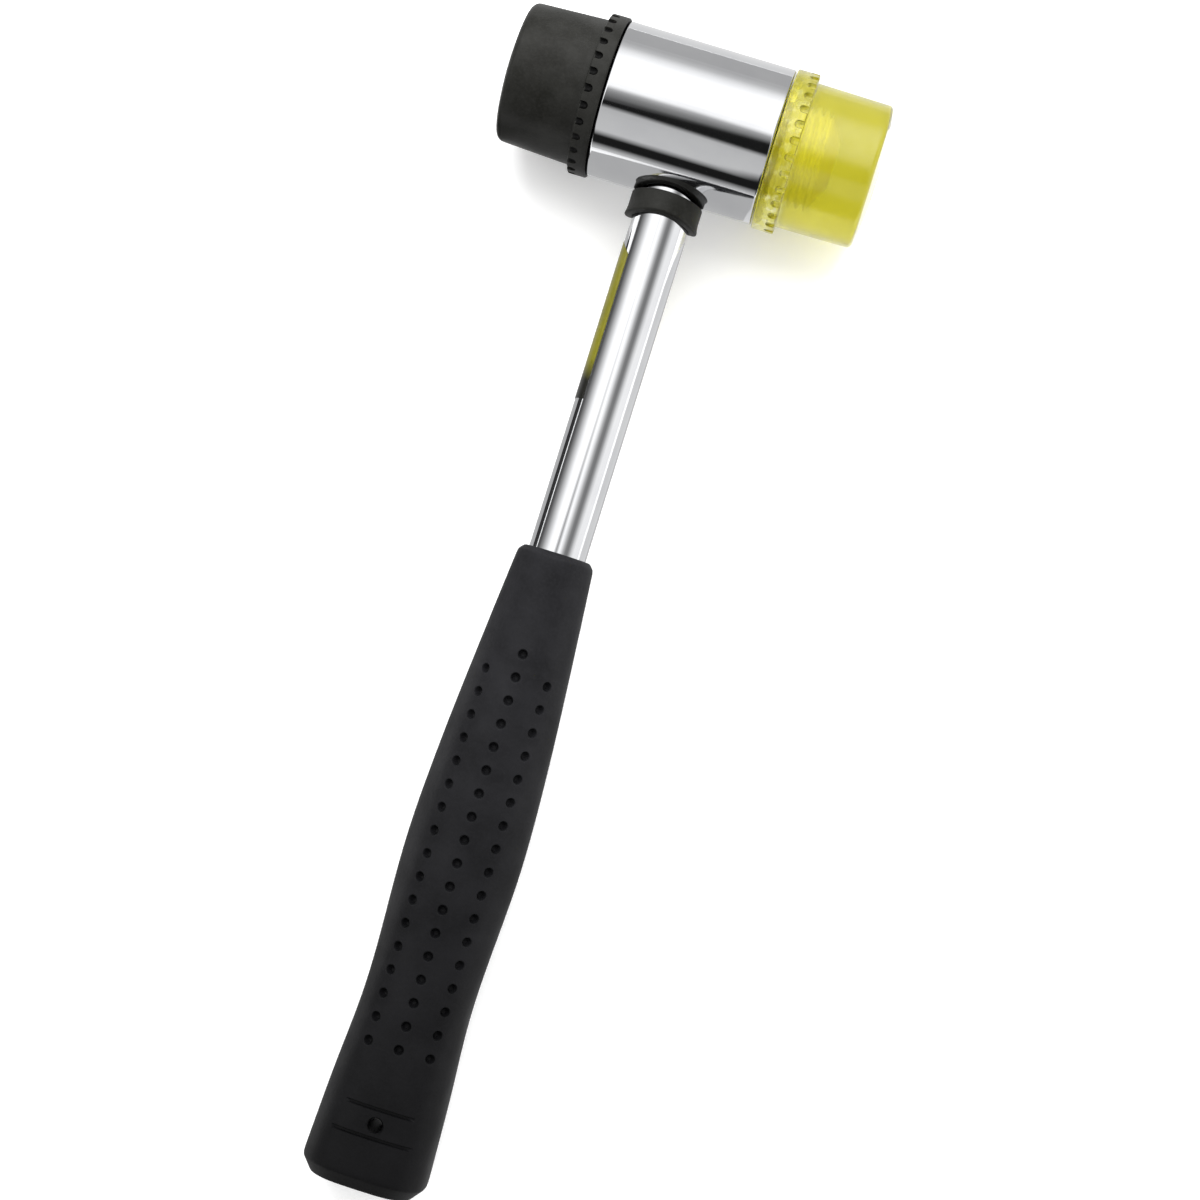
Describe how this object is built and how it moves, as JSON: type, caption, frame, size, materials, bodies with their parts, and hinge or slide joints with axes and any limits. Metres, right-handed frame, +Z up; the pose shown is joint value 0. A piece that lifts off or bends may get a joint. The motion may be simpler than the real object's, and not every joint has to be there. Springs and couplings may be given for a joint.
{
  "type": "dead blow mallet",
  "caption": "Two-faced dead blow mallet: chromed barrel head with a screw-on rubber face and a screw-on plastic face, tubular handle and dimpled oval grip.",
  "frame": {"origin": "on the surface the mallet lies on, under the middle of its bounding box", "axes": "+X along the head from the rubber face to the plastic face, -Y down the handle to the butt, +Z up from the surface"},
  "size_m": [0.0914, 0.2832, 0.039],
  "materials": {
    "chrome": "mirror plated",
    "steel": "turned, plain",
    "rubber": "satin black",
    "grip_rubber": "matt black, moulded dimples",
    "yellow_plastic": "clear yellow, glossy",
    "nylon": "natural nylon"
  },
  "bodies": {
    "head": {"head_shell": "chrome", "rubber_end_plug": "steel", "plastic_end_plug": "steel", "handle_tube": "chrome", "tube_plug": "steel", "collar": "rubber", "grip": "grip_rubber"},
    "rubber_carrier": {"rubber_face_washer": "nylon"},
    "rubber_head": {"rubber_face": "rubber", "rubber_face_core": "nylon"},
    "plastic_carrier": {"plastic_face_washer": "nylon"},
    "plastic_head": {"plastic_face": "yellow_plastic"},
    "shot": {"shot_ball_01": "steel", "shot_ball_02": "steel", "shot_ball_03": "steel", "shot_ball_04": "steel", "shot_ball_05": "steel", "shot_ball_06": "steel", "shot_ball_07": "steel", "shot_ball_08": "steel", "shot_ball_09": "steel", "shot_ball_10": "steel", "shot_ball_11": "steel", "shot_ball_12": "steel", "shot_ball_13": "steel", "shot_ball_14": "steel", "shot_ball_15": "steel"}
  },
  "joints": [
    {"name": "rubber_face_travel", "type": "slide", "parent": "head", "child": "rubber_carrier", "axis": [-1, 0, 0], "range_m": [0, 0.0101]},
    {"name": "rubber_face_turn", "type": "hinge", "parent": "rubber_carrier", "child": "rubber_head", "pos_m": [0, 0.12209, 0.0195], "axis": [-1, 0, 0], "range_deg": [0, 1800]},
    {"name": "plastic_face_travel", "type": "slide", "parent": "head", "child": "plastic_carrier", "axis": [1, 0, 0], "range_m": [0, 0.0101]},
    {"name": "plastic_face_turn", "type": "hinge", "parent": "plastic_carrier", "child": "plastic_head", "pos_m": [0, 0.12209, 0.0195], "axis": [1, 0, 0], "range_deg": [0, 1800]},
    {"name": "shot_slide", "type": "slide", "parent": "head", "child": "shot", "axis": [1, 0, 0], "range_m": [-0.004, 0.004]}
  ],
  "couplings": [
    {"joint": "rubber_face_travel", "follows": "rubber_face_turn", "m_per_rad": 0.00031831},
    {"joint": "plastic_face_travel", "follows": "plastic_face_turn", "m_per_rad": 0.00031831}
  ]
}
